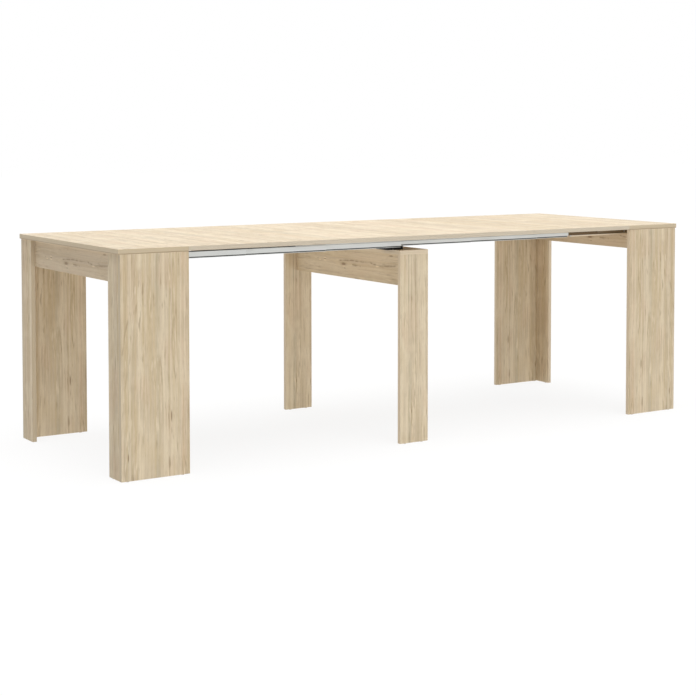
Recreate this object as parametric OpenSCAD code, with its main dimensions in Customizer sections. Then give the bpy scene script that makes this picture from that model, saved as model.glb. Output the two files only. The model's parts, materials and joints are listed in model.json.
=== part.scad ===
// Extending console dining table, open to its full length with its four loose leaves in place.
// X runs along the table, Y from front to back and Z up. The origin is on the floor, under the
// middle of the open table. The left end is the fixed one: the right end and the middle frame
// travel towards it when the table closes.

/* [Table top] */
// Width of the table from front to back
table_width = 900; // [800:10:1000]
// Height of the upper face above the floor
table_height = 780; // [720:5:800]
// Length of each fixed end top
end_top_length = 260; // [240:5:320]
// Thickness of the fixed end tops
end_top_thickness = 18; // [16:1:20]
// Spacing of the loose leaves along the table
leaf_pitch = 500; // [440:5:520]
// Thickness of a loose leaf
leaf_thickness = 16; // [16:1:22]
// Open joint between two neighbouring leaves
leaf_seam = 0.4; // [0.2:0.1:1]
// Overhang of an end top past its legs
end_overhang = 6.5; // [0:0.5:12]

/* [End legs] */
// Thickness of the leg, apron and middle frame boards
board = 16; // [15:1:19]
// Width of a leg across the end of the table, over both of its boards
leg_depth = 99; // [99:1:130]
// Height of the apron under each end top
apron_height = 100; // [90:5:140]
// Thickness of the plastic glides under all legs
glide_thickness = 2; // [1:0.5:4]

/* [Middle frame] */
// Width of each middle leg along the table
middle_leg_width = 126; // [100:2:160]
// Gap between an end leg and the middle leg that closes up inside it
pass_gap = 2; // [1:0.5:6]
// Distance of the middle frame to the left of the middle of the slide member that carries it
middle_offset = 58; // [0:1:70]
// Height of the cross rail between the middle legs
cross_rail_height = 124; // [90:2:180]
// Height between the deep slides and the middle top board
carrier_room = 9.5; // [9:0.5:20]

/* [Slides] */
// Distance of the outermost slide face from the edge of the top
slide_recess = 30; // [28:1:36]
// Thickness of one slide member from front to back
slide_body = 8.4; // [8:0.1:9]
// Running gap between neighbouring slide members
slide_gap = 0.4; // [0.3:0.1:0.6]
// Height of the deep slide members, which are the first three from the left
deep_slide_height = 25; // [23:0.5:30]
// Height of the shallow slide members to the right of them
shallow_slide_height = 21; // [18:0.5:22]
// Length of the sixth member's body that is cut back to bare its runner
runner_reach = 166; // [150:1:200]
// Height of the rubber pads on which a leaf rests
pad_height = 4.2; // [3:0.1:6]

/* [Fixings] */
// Diameter of the wooden dowels
dowel_diameter = 8; // [6:1:8]
// Length of the wooden dowels
dowel_length = 30; // [25:1:35]
// Diameter of the cam locks
cam_diameter = 15; // [12:1:15]
// Diameter of the wood screws' shanks
screw_diameter = 4; // [3:0.5:4]

/* [Hidden] */
$fn = 48;
left = -1;
right = 1;
front = -1;
back = 1;
leaf_count = 4;
slide_count = 7;
middle_slide = (slide_count + 1) / 2;
deep_slides = middle_slide - 1;

// Clearances
closing_gap = 0.3;
slide_end_play = 1.15;
slide_fit = 0.3;
pad_gap = 0.3;
fixing_fit = 0.05;
notch_gap = 1;
guide_gap = 1;
stop_gap = 0.1;
cut = 1;

// Heights
leg_top = table_height - end_top_thickness;
leaf_underside = table_height - leaf_thickness;
slide_top = leaf_underside - pad_height - pad_gap;
deep_underside = slide_top - deep_slide_height;
shallow_underside = slide_top - shallow_slide_height;
middle_top = deep_underside - carrier_room;
middle_leg_top = middle_top - board;

// Places along the table, and how far it closes
half_length = end_top_length + leaf_count * leaf_pitch / 2;
leg_x = end_overhang - half_length;
leg_width = end_top_length - end_overhang;
end_top_edge = end_top_length - half_length;
travel = leaf_count * leaf_pitch - closing_gap;
slide_step = travel / (slide_count - 1);
slide_length = 2 * (leg_width - board - slide_end_play) + closing_gap;
function slide_x(k) = leg_x + board + slide_end_play + (k - 1) * slide_step;
middle_x = slide_x(middle_slide) + slide_length / 2 - middle_offset;
function leaf_x(n) = end_top_edge + (n - 1) * leaf_pitch + leaf_seam / 2;

// Places across the table, on the front side
edge_y = -table_width / 2;
panel_y = edge_y + board;
return_y = edge_y + leg_depth;
middle_y = panel_y + pass_gap;

// Section of the slide members: a T tongue outside and the groove for the next tongue inside
neck_length = 2.2;
head_thickness = 2;
tongue_reach = neck_length + head_thickness;
neck_height = 3.6;
head_inset = 2;
lip_height = 5.5;
shadow_height = 3.7;
shadow_depth = 3;
function slide_height(k) = k <= deep_slides ? deep_slide_height : shallow_slide_height;
function head_height(k) = slide_height(k) - head_inset - lip_height;
neck_drop = head_inset + head_height(slide_count) / 2;
function slide_y(k) = edge_y + slide_recess + tongue_reach + (k - 1) * (slide_body + slide_gap);
groove_floor = slide_body + slide_gap - tongue_reach - slide_fit;

// End stops: the tongue's head is cut down past a shoulder that meets a block in the groove
stop_cut = 1.2;
stop_length = 4;
stop_inset = 6;
stop_bite = 0.5;

// The seventh member is a channel, in which the sixth member's runner slides
channel_wall = 3;
channel_depth = 8;
channel_top = 1.3;
channel_lip = 5;
channel_body = channel_depth + channel_wall;
channel_y = slide_y(slide_count);
slides_inner_y = channel_y + channel_body;
runner_y = slide_y(slide_count - 1) + slide_body;
runner_thickness = slide_gap + channel_depth - slide_fit;
runner_height = shallow_slide_height - channel_top - channel_lip - 2 * slide_fit;
runner_top = slide_top - channel_top - slide_fit;
short_slide_length = slide_length - runner_reach;
stud_diameter = 5;
stud_length = 3.5;
studs_along = [40, 150, 270];

// Timber that carries the slides, and the blocks between the apron and the top
rail_block_thickness = 14;
top_block = 24;
top_block_width = 40;
top_blocks_across = [-200, 0, 200];

// Fixings along the end legs, and the depth that each has in its second board
dowel_inset = 30;
dowel_bevel = 1;
dowel_depth = 12;
panel_dowel_depth = 10;
cam_inset = 95;
cam_drop = 34;
cam_depth = 12.4;
cam_cross = 1.6;
bolt_diameter = 6;
bolt_room = 0.6;
bolt_depth = 11;
corner_dowels_up = [90, 290, 490, 650];
apron_dowel_drop = 72;
apron_screw_drop = 50;
apron_screws_across = [34, 68];
rail_screws_along = [45, 110, 180];
block_screws_along = [77, 145];
screw_depth = 12;
panel_screw_depth = 10;
screw_head = 4;
screw_head_height = 2.4;
screw_point = 3;
recess_width = 4.4;
recess_slot = 1;
recess_depth = 1.5;

// Glides, and the middle frame's fixings
glide_diameter = 12;
glide_inset = 25;
glide_pin_diameter = 2.5;
glide_pin = 12;
middle_dowel_inset = 23;
cross_dowels_drop = [25, 99];
cross_screws_across = [-250, 0, 250];
cross_screw_length = 48;
carrier_overhang = 29;
carrier_length = 70;
carrier_width = 75;
carrier_gap = 0.3;
carrier_screws_along = [41, 57];
carrier_screw_inset = 40;
carrier_screw_bite = 3;

// Leaf fittings
pad_length = 62;
pad_width = 12;
pad_inset = 60;
guide_length = 60;
guide_width = 12;
guide_drop = 12;
guide_offset = 45;
peg_diameter = 6;
peg_length = 8;
peg_inset = 14;

top_oak = [0.95, 0.89, 0.79];
leg_oak = [0.84, 0.77, 0.66];
apron_oak = [0.80, 0.71, 0.58];
beech = [0.80, 0.66, 0.48];
silver = [0.82, 0.83, 0.82];
steel = [0.62, 0.63, 0.65];
black_plastic = [0.10, 0.10, 0.10];
grey_rubber = [0.28, 0.27, 0.26];
glide_plastic = [0.86, 0.84, 0.80];

// What is drawn at the left end is mirrored for the right, and the front side for the back
module at_end(end) { mirror([end == right ? 1 : 0, 0, 0]) children(); }
module at_side(side) { mirror([0, side == back ? 1 : 0, 0]) children(); }
module both_sides() { for (side = [front, back]) at_side(side) children(); }

// Fixings lie along +Z, their joint or head at the origin. With fit they are the holes they need.
module dowel(below, above, fit = 0) {
    radius = dowel_diameter / 2 + fit;
    bevel = fit > 0 ? 0 : dowel_bevel;
    translate([0, 0, bevel - below - fit])
        cylinder(h = below + above + 2 * (fit - bevel), r = radius);
    if (fit == 0) {
        translate([0, 0, -below]) cylinder(h = bevel, r1 = radius - bevel, r2 = radius);
        translate([0, 0, above - bevel]) cylinder(h = bevel, r1 = radius, r2 = radius - bevel);
    }
}

module screw_recess() {
    for (turn = [0, 90])
        rotate([0, 0, turn]) translate([-recess_width / 2, -recess_slot / 2, -cut])
            cube([recess_width, recess_slot, recess_depth + cut]);
}

module screw(length, fit = 0, access = cut) {
    shank = screw_diameter / 2 + fit;
    difference() {
        cylinder(h = screw_head_height, r1 = screw_head + fit, r2 = shank);
        if (fit == 0) screw_recess();
    }
    difference() {
        cylinder(h = length - screw_point, r = shank);
        if (fit == 0) screw_recess();
    }
    translate([0, 0, length - screw_point])
        cylinder(h = screw_point + fit, r1 = shank, r2 = fit > 0 ? shank : screw_diameter / 8);
    if (fit > 0)
        translate([0, 0, -access]) cylinder(h = access, r = screw_head + fit);
}

module glide(fit = 0) {
    cylinder(h = glide_thickness, d = glide_diameter);
    cylinder(h = glide_thickness + glide_pin + fit, d = glide_pin_diameter + 2 * fit);
}

// A cam lock: the cam lies in the inner face of a leg, its bolt stands up into the top
module cam(fit = 0) {
    bolt_y = board / 2;
    difference() {
        rotate([90, 0, 0]) cylinder(h = cam_depth + fit, d = cam_diameter + 2 * fit);
        if (fit == 0) {
            translate([0, -bolt_y, 0]) cylinder(h = cam_drop, d = bolt_diameter + 2 * bolt_room);
            for (turn = [0, 90])
                rotate([0, turn, 0]) translate([-cam_diameter / 4, -cam_cross, -cam_cross / 2])
                    cube([cam_diameter / 2, cam_cross + cut, cam_cross]);
        }
    }
    translate([0, -bolt_y, bolt_room])
        cylinder(h = cam_drop + bolt_depth - bolt_room + fit, d = bolt_diameter + 2 * fit);
}

// Fixed ends

module end_dowels(fit = 0) {
    both_sides() {
        for (x = [leg_x + dowel_inset, leg_x + leg_width - dowel_inset])
            translate([x, edge_y + board / 2, leg_top])
                dowel(dowel_length - dowel_depth, dowel_depth, fit);
        translate([leg_x + board / 2, (panel_y + return_y) / 2, leg_top])
            dowel(dowel_length - dowel_depth, dowel_depth, fit);
        for (z = corner_dowels_up)
            translate([leg_x + board / 2, panel_y, z]) rotate([-90, 0, 0])
                dowel(panel_dowel_depth, dowel_length - panel_dowel_depth, fit);
        translate([leg_x + board * 3 / 2, panel_y, leg_top - apron_dowel_drop]) rotate([-90, 0, 0])
            dowel(panel_dowel_depth, dowel_length - panel_dowel_depth, fit);
    }
}

module end_cams(fit = 0) {
    both_sides()
        for (x = [leg_x + cam_inset, leg_x + leg_width - cam_inset])
            translate([x, panel_y, leg_top - cam_drop]) cam(fit);
}

// Screws through the first slide member and its rail block into the leg panel
module left_rail_screws(fit = 0) {
    floor_y = slide_y(1) + groove_floor;
    both_sides()
        for (x = rail_screws_along)
            translate([slide_x(1) + x, floor_y, slide_top - neck_drop]) rotate([90, 0, 0])
                screw(floor_y - panel_y + panel_screw_depth, fit, slide_body);
}

// Screws through the channel into its rail block, and through the block into the top
module right_rail_screws(fit = 0) {
    both_sides() {
        for (x = rail_screws_along)
            translate([slide_x(1) + x, channel_y + channel_depth, slide_top - neck_drop])
                rotate([-90, 0, 0]) screw(channel_wall + screw_depth, fit);
        for (x = block_screws_along)
            translate([slide_x(1) + x, slides_inner_y + rail_block_thickness / 2, shallow_underside])
                screw(leg_top - shallow_underside + screw_depth, fit);
    }
}

module end_screws(end, fit = 0) {
    if (end == left) left_rail_screws(fit);
    else right_rail_screws(fit);
    both_sides()
        for (y = apron_screws_across)
            translate([leg_x + 2 * board, panel_y + y, leg_top - apron_screw_drop])
                rotate([0, -90, 0]) screw(board + screw_depth, fit);
    for (y = top_blocks_across) {
        translate([leg_x + 2 * board + top_block, y - top_block_width / 4, leg_top - top_block / 2])
            rotate([0, -90, 0]) screw(top_block + screw_depth, fit);
        translate([leg_x + 2 * board + top_block / 2, y + top_block_width / 4, leg_top - top_block])
            screw(top_block + screw_depth, fit);
    }
}

module end_glides(fit = 0) {
    both_sides() {
        for (x = [leg_x + glide_inset, leg_x + leg_width - glide_inset])
            translate([x, edge_y + board / 2, 0]) glide(fit);
        translate([leg_x + board / 2, return_y - glide_inset, 0]) glide(fit);
    }
}

module end_fixing_holes(end) {
    end_dowels(fixing_fit);
    end_cams(fixing_fit);
    end_screws(end, fixing_fit);
    end_glides(fixing_fit);
}

module end_top(end) {
    color(top_oak) difference() {
        translate([-half_length, edge_y, leg_top])
            cube([end_top_length, table_width, end_top_thickness]);
        end_fixing_holes(end);
    }
}

// Broad board of a leg, in the long side of the table
module leg_panel(end, side) {
    color(leg_oak) difference() {
        at_side(side) translate([leg_x, edge_y, glide_thickness])
            cube([leg_width, board, leg_top - glide_thickness]);
        end_fixing_holes(end);
    }
}

// Narrow board of a leg, in the end of the table, butted behind the panel
module leg_return(end, side) {
    color(leg_oak) difference() {
        at_side(side) translate([leg_x, panel_y, glide_thickness])
            cube([board, leg_depth - board, leg_top - glide_thickness]);
        end_fixing_holes(end);
    }
}

// Apron between the legs, notched at its upper corners where the slides run through
module apron(end) {
    notch_bottom = deep_underside - notch_gap;
    color(apron_oak) difference() {
        translate([leg_x + board, panel_y, leg_top - apron_height])
            cube([board, -2 * panel_y, apron_height]);
        both_sides() translate([leg_x + board - cut, panel_y - cut, notch_bottom])
            cube([board + 2 * cut, slides_inner_y + notch_gap - panel_y + cut,
                leg_top - notch_bottom + cut]);
        end_fixing_holes(end);
    }
}

// Left: a batten between each leg panel and its first slide member.
// Right: a block behind each channel, under the top.
module rail_blocks(end) {
    color(beech) difference() {
        both_sides()
            if (end == left)
                translate([slide_x(1), panel_y, deep_underside])
                    cube([end_top_edge - slide_x(1), slide_recess - board,
                        leg_top - deep_underside]);
            else
                translate([leg_x + 2 * board + notch_gap, slides_inner_y, shallow_underside])
                    cube([end_top_edge - leg_x - 2 * board - notch_gap, rail_block_thickness,
                        leg_top - shallow_underside]);
        end_fixing_holes(end);
    }
}

module top_blocks(end) {
    color(beech) difference() {
        for (y = top_blocks_across)
            translate([leg_x + 2 * board, y - top_block_width / 2, leg_top - top_block])
                cube([top_block, top_block_width, top_block]);
        end_fixing_holes(end);
    }
}

// Slides. Sections have depth along X, from the member's outer face inwards, and height along Y,
// down from the top of the slides.

module tongue(head, fit = 0) {
    translate([-neck_length, -neck_drop - neck_height / 2 - fit])
        square([neck_length, neck_height + 2 * fit]);
    translate([-tongue_reach - fit, -head_inset - head - fit])
        square([head_thickness + 2 * fit, head + 2 * fit]);
}

module member_section(k) {
    shadow_top = -head_inset - head_height(k);
    difference() {
        union() {
            translate([0, -slide_height(k)]) square([slide_body, slide_height(k)]);
            tongue(head_height(k));
        }
        translate([-cut, shadow_top - shadow_height]) square([shadow_depth + cut, shadow_height]);
        if (k < slide_count - 1)
            translate([slide_body + slide_gap, 0]) tongue(head_height(k + 1), slide_fit);
    }
}

module channel_section() {
    difference() {
        translate([0, -shallow_slide_height]) square([channel_body, shallow_slide_height]);
        translate([-cut, channel_lip - shallow_slide_height])
            square([channel_depth + cut, shallow_slide_height - channel_lip - channel_top]);
    }
}

module along_table(length) { rotate([90, 0, 90]) linear_extrude(length) children(); }

// Block under the ceiling of a groove, which catches the shoulder of what slides in it
module stop_block(x, y, depth, ceiling) {
    translate([x, y - stop_bite, ceiling - stop_cut])
        cube([stop_length, depth + stop_bite, stop_cut + stop_bite]);
}

module tongued_member(k) {
    own_length = k == slide_count - 1 ? short_slide_length : slide_length;
    shoulder = slide_length - stop_inset - stop_length - slide_step - stop_gap;
    difference() {
        along_table(own_length) member_section(k);
        if (k > 1)
            translate([shoulder, -tongue_reach - cut, -head_inset - stop_cut])
                cube([own_length, head_thickness + cut, stop_cut + cut]);
    }
    if (k < slide_count - 1)
        stop_block(slide_length - stop_inset - stop_length, groove_floor, head_thickness,
            slide_fit - head_inset);
}

module channel_member() {
    along_table(slide_length) channel_section();
    translate([0, channel_depth, 0]) mirror([0, 1, 0])
        stop_block(stop_inset, 0, runner_thickness - slide_gap, -channel_top);
}

module runner_studs(fit = 0) {
    for (x = studs_along)
        translate([slide_x(slide_count - 1) + x, runner_y + cut, slide_top - neck_drop])
            rotate([90, 0, 0])
                cylinder(h = stud_length + cut + fit, d = stud_diameter + 2 * fit);
}

module slide(k, side) {
    color(silver) at_side(side) difference() {
        translate([slide_x(k), slide_y(k), slide_top])
            if (k == slide_count) channel_member();
            else tongued_member(k);
        if (k == 1) left_rail_screws(fixing_fit);
        if (k == middle_slide) middle_screws(fixing_fit);
        if (k == slide_count - 1) runner_studs(fixing_fit);
        if (k == slide_count) mirror([1, 0, 0]) right_rail_screws(fixing_fit);
    }
}

// Nylon runners on the inner faces of the sixth members
module slide_runners() {
    shoulder = slide_step + stop_inset + stop_length + stop_gap;
    color(black_plastic) both_sides() {
        difference() {
            translate([slide_x(slide_count - 1), runner_y, runner_top - runner_height])
                cube([slide_length, runner_thickness, runner_height]);
            translate([slide_x(slide_count - 1) - cut, runner_y + slide_gap, runner_top - stop_cut])
                cube([shoulder + cut, runner_thickness, stop_cut + cut]);
        }
        runner_studs();
    }
}

// Middle frame

module middle_dowels(fit = 0) {
    both_sides() {
        for (x = [middle_dowel_inset, middle_leg_width - middle_dowel_inset])
            translate([middle_x - middle_leg_width / 2 + x, middle_y + board / 2, middle_leg_top])
                dowel(dowel_length - panel_dowel_depth, panel_dowel_depth, fit);
        for (drop = cross_dowels_drop)
            translate([middle_x, middle_y + board, middle_leg_top - drop]) rotate([-90, 0, 0])
                dowel(panel_dowel_depth, dowel_length - panel_dowel_depth, fit);
    }
}

// Screws down into the cross rail, up through the top board into each carrier, and up through
// each carrier into its slide member
module middle_screws(fit = 0) {
    carrier_x = middle_x - middle_leg_width / 2 - carrier_overhang;
    for (y = cross_screws_across)
        translate([middle_x, y, middle_top]) rotate([180, 0, 0]) screw(cross_screw_length, fit);
    both_sides()
        for (x = carrier_screws_along) {
            translate([carrier_x + x, slide_y(middle_slide) + carrier_screw_inset, middle_leg_top])
                screw(board + carrier_room - screw_point, fit);
            translate([carrier_x + x, slide_y(middle_slide) + slide_body / 2, middle_top])
                screw(shallow_underside - middle_top + carrier_screw_bite, fit);
        }
}

module middle_glides(fit = 0) {
    both_sides()
        for (x = [glide_inset, middle_leg_width - glide_inset])
            translate([middle_x - middle_leg_width / 2 + x, middle_y + board / 2, 0]) glide(fit);
}

module middle_fixing_holes() {
    middle_dowels(fixing_fit);
    middle_screws(fixing_fit);
    middle_glides(fixing_fit);
}

module middle_leg(side) {
    color(leg_oak) difference() {
        at_side(side) translate([middle_x - middle_leg_width / 2, middle_y, glide_thickness])
            cube([middle_leg_width, board, middle_leg_top - glide_thickness]);
        middle_fixing_holes();
    }
}

module middle_top_board() {
    color(apron_oak) difference() {
        translate([middle_x - middle_leg_width / 2, middle_y, middle_leg_top])
            cube([middle_leg_width, -2 * middle_y, board]);
        middle_fixing_holes();
    }
}

module middle_cross_rail() {
    color(apron_oak) difference() {
        translate([middle_x - board / 2, middle_y + board, middle_leg_top - cross_rail_height])
            cube([board, -2 * (middle_y + board), cross_rail_height]);
        middle_fixing_holes();
    }
}

// Plastic carrier: a wide foot on the top board and a rib up to the fourth slide member
module slide_carrier(side) {
    foot_x = middle_x - middle_leg_width / 2 - carrier_overhang;
    color(black_plastic) difference() {
        at_side(side) {
            translate([foot_x, slide_y(middle_slide), middle_top])
                cube([carrier_length, carrier_width, deep_underside - carrier_gap - middle_top]);
            translate([foot_x, slide_y(middle_slide), middle_top])
                cube([carrier_length, slide_body, shallow_underside - middle_top]);
        }
        middle_fixing_holes();
    }
}

// Loose leaves

module guide_pegs(n, fit = 0) {
    for (x = [peg_inset, guide_length - peg_inset])
        translate([guide_x(n) + x, guide_y(n) + guide_width / 2, leaf_underside - cut])
            cylinder(h = peg_length + cut + fit, d = peg_diameter + 2 * fit);
}

function guide_x(n) = leaf_x(n) + leaf_pitch / 2 - guide_offset - guide_length / 2;
function slide_at(x) = round((x - slide_x(1) - slide_length / 2) / slide_step) + 1;
function innermost_y(k) = k < slide_count - 1 ? slide_y(k) + slide_body : slides_inner_y;
function guide_y(n) = innermost_y(slide_at(guide_x(n) + guide_length / 2)) + guide_gap;

module leaf(n) {
    color(top_oak) difference() {
        translate([leaf_x(n), edge_y, leaf_underside])
            cube([leaf_pitch - leaf_seam, table_width, leaf_thickness]);
        both_sides() guide_pegs(n, fixing_fit);
    }
}

// Rubber pads under a leaf, each over the slide member that lies below it
module rest_pads(n) {
    color(grey_rubber) both_sides()
        for (x = [leaf_x(n) + pad_inset, leaf_x(n) + leaf_pitch - pad_inset])
            translate([x - pad_length / 2, slide_y(slide_at(x)) + (slide_body - pad_width) / 2,
                leaf_underside - pad_height])
                cube([pad_length, pad_width, pad_height]);
}

// Plastic blocks under a leaf that keep it from sliding sideways off the slides
module guide_blocks(n) {
    color(black_plastic) both_sides() {
        translate([guide_x(n), guide_y(n), leaf_underside - guide_drop])
            cube([guide_length, guide_width, guide_drop]);
        guide_pegs(n);
    }
}

for (at = [["left_", left], ["right_", right]]) {
    name = at[0];
    end = at[1];
    at_end(end) end_top(end);
    at_end(end) leg_panel(end, front);
    at_end(end) leg_return(end, front);
    at_end(end) leg_panel(end, back);
    at_end(end) leg_return(end, back);
    at_end(end) apron(end);
    at_end(end) rail_blocks(end);
    at_end(end) top_blocks(end);
    at_end(end) color(beech) end_dowels();
    at_end(end) color(steel) end_cams();
    at_end(end) color(steel) end_screws(end);
    at_end(end) color(glide_plastic) end_glides();
}

for (k = [1 : slide_count]) {
    slide(k, front);
    slide(k, back);
}
slide_runners();

middle_top_board();
middle_leg(front);  // middle_front_leg
middle_leg(back);  // middle_back_leg
middle_cross_rail();
slide_carrier(front);  // front_slide_carrier
slide_carrier(back);  // back_slide_carrier
color(beech) middle_dowels();  // middle_wood_dowels
color(steel) middle_screws();
color(glide_plastic) middle_glides();  // middle_foot_glides

for (n = [1 : leaf_count]) {
    leaf(n);
    rest_pads(n);
    guide_blocks(n);
}
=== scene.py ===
import json
import math

import bpy
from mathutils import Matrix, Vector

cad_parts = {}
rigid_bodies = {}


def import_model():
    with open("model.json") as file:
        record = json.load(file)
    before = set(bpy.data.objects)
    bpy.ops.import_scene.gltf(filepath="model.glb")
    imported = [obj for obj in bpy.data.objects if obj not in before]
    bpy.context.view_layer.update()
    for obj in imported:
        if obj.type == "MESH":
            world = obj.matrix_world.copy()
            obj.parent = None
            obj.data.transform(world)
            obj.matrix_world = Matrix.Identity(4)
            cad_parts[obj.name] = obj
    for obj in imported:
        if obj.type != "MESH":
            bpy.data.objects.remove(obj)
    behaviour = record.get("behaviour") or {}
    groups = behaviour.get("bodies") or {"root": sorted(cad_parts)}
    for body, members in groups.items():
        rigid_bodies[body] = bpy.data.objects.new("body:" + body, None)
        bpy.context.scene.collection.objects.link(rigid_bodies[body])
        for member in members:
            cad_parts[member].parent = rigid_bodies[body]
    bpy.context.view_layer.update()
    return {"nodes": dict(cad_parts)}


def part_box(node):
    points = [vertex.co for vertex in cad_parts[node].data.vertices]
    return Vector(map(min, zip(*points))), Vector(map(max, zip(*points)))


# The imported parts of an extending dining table, in an empty scene. They keep their places and
# their shapes, and each section gives one piece, or a group of like pieces, its finish.
for left_over in list(bpy.data.objects):
    bpy.data.objects.remove(left_over)
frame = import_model()


# Legs of the two fixed ends: a broad chipboard panel in the long side, a narrow one butted behind.
# They are faced with printed oak paper. The print runs up the leg, is turned over on the right
# legs, and a plainer strip is ironed on every cut edge.
LEG_OAK = (0.624, 0.519, 0.368)
GRAIN_BROWN = (0.290, 0.195, 0.115, 1)
LEG_EDGING = (0.725, 0.605, 0.445, 1)
LEFT_LEG_EDGING = (0.566, 0.471, 0.335, 1)

# A stripe is its distance from the print's edge and its tone. A tick is a short dark mark: its
# place across and along the print, half its width and half its length.
LEG_STRIPES = ((0.008, "plain"), (0.030, "grey"), (0.042, "tan"), (0.055, "plain"), (0.071, "pale"),
               (0.090, "plain"), (0.118, "plain"), (0.134, "grey"), (0.150, "plain"), (0.168, "pale"),
               (0.196, "pale"), (0.214, "plain"), (0.229, "rose"), (0.252, "tan"))
LEG_TICKS = ((0.185, 0.207, 0.0036, 0.026), (0.024, 0.080, 0.0032, 0.020))
LEG_CROWN = 22.0
CROWN_PLACE = 0.127


def span(node_name, axis):
    """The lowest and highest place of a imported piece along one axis."""
    lowest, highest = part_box(node_name)
    return lowest["XYZ".index(axis)], highest["XYZ".index(axis)]


def blank_finish(name):
    finish = bpy.data.materials.new(name)
    finish.use_nodes = True
    return finish, finish.node_tree, finish.node_tree.nodes["Principled BSDF"]


def add(tree, kind, settings=None, **inputs):
    """One node. An input is given by its name, or by _ and its number, and is another node's
    output or a plain value."""
    made = tree.nodes.new(kind)
    for setting, value in (settings or {}).items():
        setattr(made, setting, value)
    for socket, value in inputs.items():
        into = made.inputs[int(socket[1:])] if socket.startswith("_") else made.inputs[socket]
        if isinstance(value, bpy.types.NodeSocket):
            tree.links.new(value, into)
        else:
            into.default_value = value
    return made


def sums(tree, operation, first, second=0.0, third=0.0):
    settings = {"operation": operation}
    return add(tree, "ShaderNodeMath", settings, _0=first, _1=second, _2=third).outputs[0]


def vectors(tree, operation, first, second, third=(0.0, 0.0, 0.0)):
    settings = {"operation": operation}
    return add(tree, "ShaderNodeVectorMath", settings, _0=first, _1=second, _2=third).outputs[0]


def parts_of(tree, vector):
    return add(tree, "ShaderNodeSeparateXYZ", _0=vector).outputs


def eased(tree, value, low, high, out_low=0.0, out_high=1.0):
    """Goes softly from one output to the other as the value goes from low to high. Values named
    levels hold the first two of these four numbers; shares and roughnesses hold all four."""
    ramp = add(tree, "ShaderNodeMapRange", {"interpolation_type": "SMOOTHSTEP"}, Value=value)
    ramp.inputs["From Min"].default_value = low
    ramp.inputs["From Max"].default_value = high
    ramp.inputs["To Min"].default_value = out_low
    ramp.inputs["To Max"].default_value = out_high
    return ramp.outputs["Result"]


def blended(tree, share, under, over):
    mix = add(tree, "ShaderNodeMix", {"data_type": "RGBA"}, _0=share, _6=under, _7=over)
    return mix.outputs[2]


def cloudy(tree, place, repeats, fineness=2.0, start=0.0):
    """Noise with so many repeats a metre along each direction of the place."""
    spread = vectors(tree, "MULTIPLY_ADD", place, repeats, (0.0, 0.0, start))
    noise = add(tree, "ShaderNodeTexNoise", Vector=spread, Scale=1.0, Detail=fineness)
    return noise.outputs["Fac"]


def own_place(tree):
    return add(tree, "ShaderNodeTexCoord").outputs["Object"]


def facing(tree):
    return add(tree, "ShaderNodeTexCoord").outputs["Normal"]


def textured(tree, skin, height, strength, depth, sunk=False):
    """Gives a finish a fine relief, raised or sunk."""
    relief = add(tree, "ShaderNodeBump", {"invert": sunk}, Height=height, Strength=strength,
                 Distance=depth)
    tree.links.new(relief.outputs[0], skin.inputs["Normal"])


def print_place(tree, across, along, edge, turned_over):
    """Metres across the print from its edge and metres along it."""
    own = parts_of(tree, own_place(tree))
    over = sums(tree, "SUBTRACT", own[across], edge)
    if turned_over:
        over = sums(tree, "SUBTRACT", edge, sums(tree, "ABSOLUTE", own[across]))
    return add(tree, "ShaderNodeCombineXYZ", X=over, Y=own[along]).outputs[0]


def print_cloud(tree, place, sheet, across, along, fineness, start):
    """Noise on the print, with its repeats a metre across and along it and its start on the roll."""
    return cloudy(tree, place, (across, along, 0.0), fineness, sheet + start)


WAVER = 0.012
WAVER_CLOUD = (6.0, 1.8, 1.0, 0.0)


def wavering(tree, place, sheet):
    """Lets the print wander a little to either side, as grain does."""
    wander = print_cloud(tree, place, sheet, *WAVER_CLOUD)
    aside = sums(tree, "MULTIPLY_ADD", wander, WAVER, -WAVER / 2)
    return vectors(tree, "ADD", place, add(tree, "ShaderNodeCombineXYZ", X=aside).outputs[0])


# What each tone takes of the plain one, in red, green and blue.
TONES = {"plain": (1.0, 1.0, 1.0), "pale": (1.12, 1.14, 1.16), "tan": (0.87, 0.85, 0.82),
         "grey": (0.875, 0.89, 0.89), "rose": (0.98, 0.90, 0.86), "gold": (0.94, 0.90, 0.80)}


def mixed_tones(plain, depth):
    """The tones that a print mixes; the depth tells how far they lie from the plain one."""
    tones = {tone: tuple(part * share ** depth for part, share in zip(plain, shares)) + (1,)
             for tone, shares in TONES.items()}
    tones["brown"] = GRAIN_BROWN
    return tones


def striped(tree, place, stripes, tones):
    """Soft stripes along the print, each tone at its own distance from the edge."""
    width = stripes[-1][0]
    over = parts_of(tree, place)["X"]
    ramp = add(tree, "ShaderNodeValToRGB", Fac=sums(tree, "DIVIDE", over, width))
    stops = ramp.color_ramp.elements
    ramp.color_ramp.interpolation = "EASE"
    stops[0].position = stripes[0][0] / width
    stops[0].color = tones[stripes[0][1]]
    stops[1].color = tones[stripes[-1][1]]
    for distance, tone in stripes[1:-1]:
        stops.new(distance / width).color = tones[tone]
    return ramp.outputs["Color"]


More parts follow.
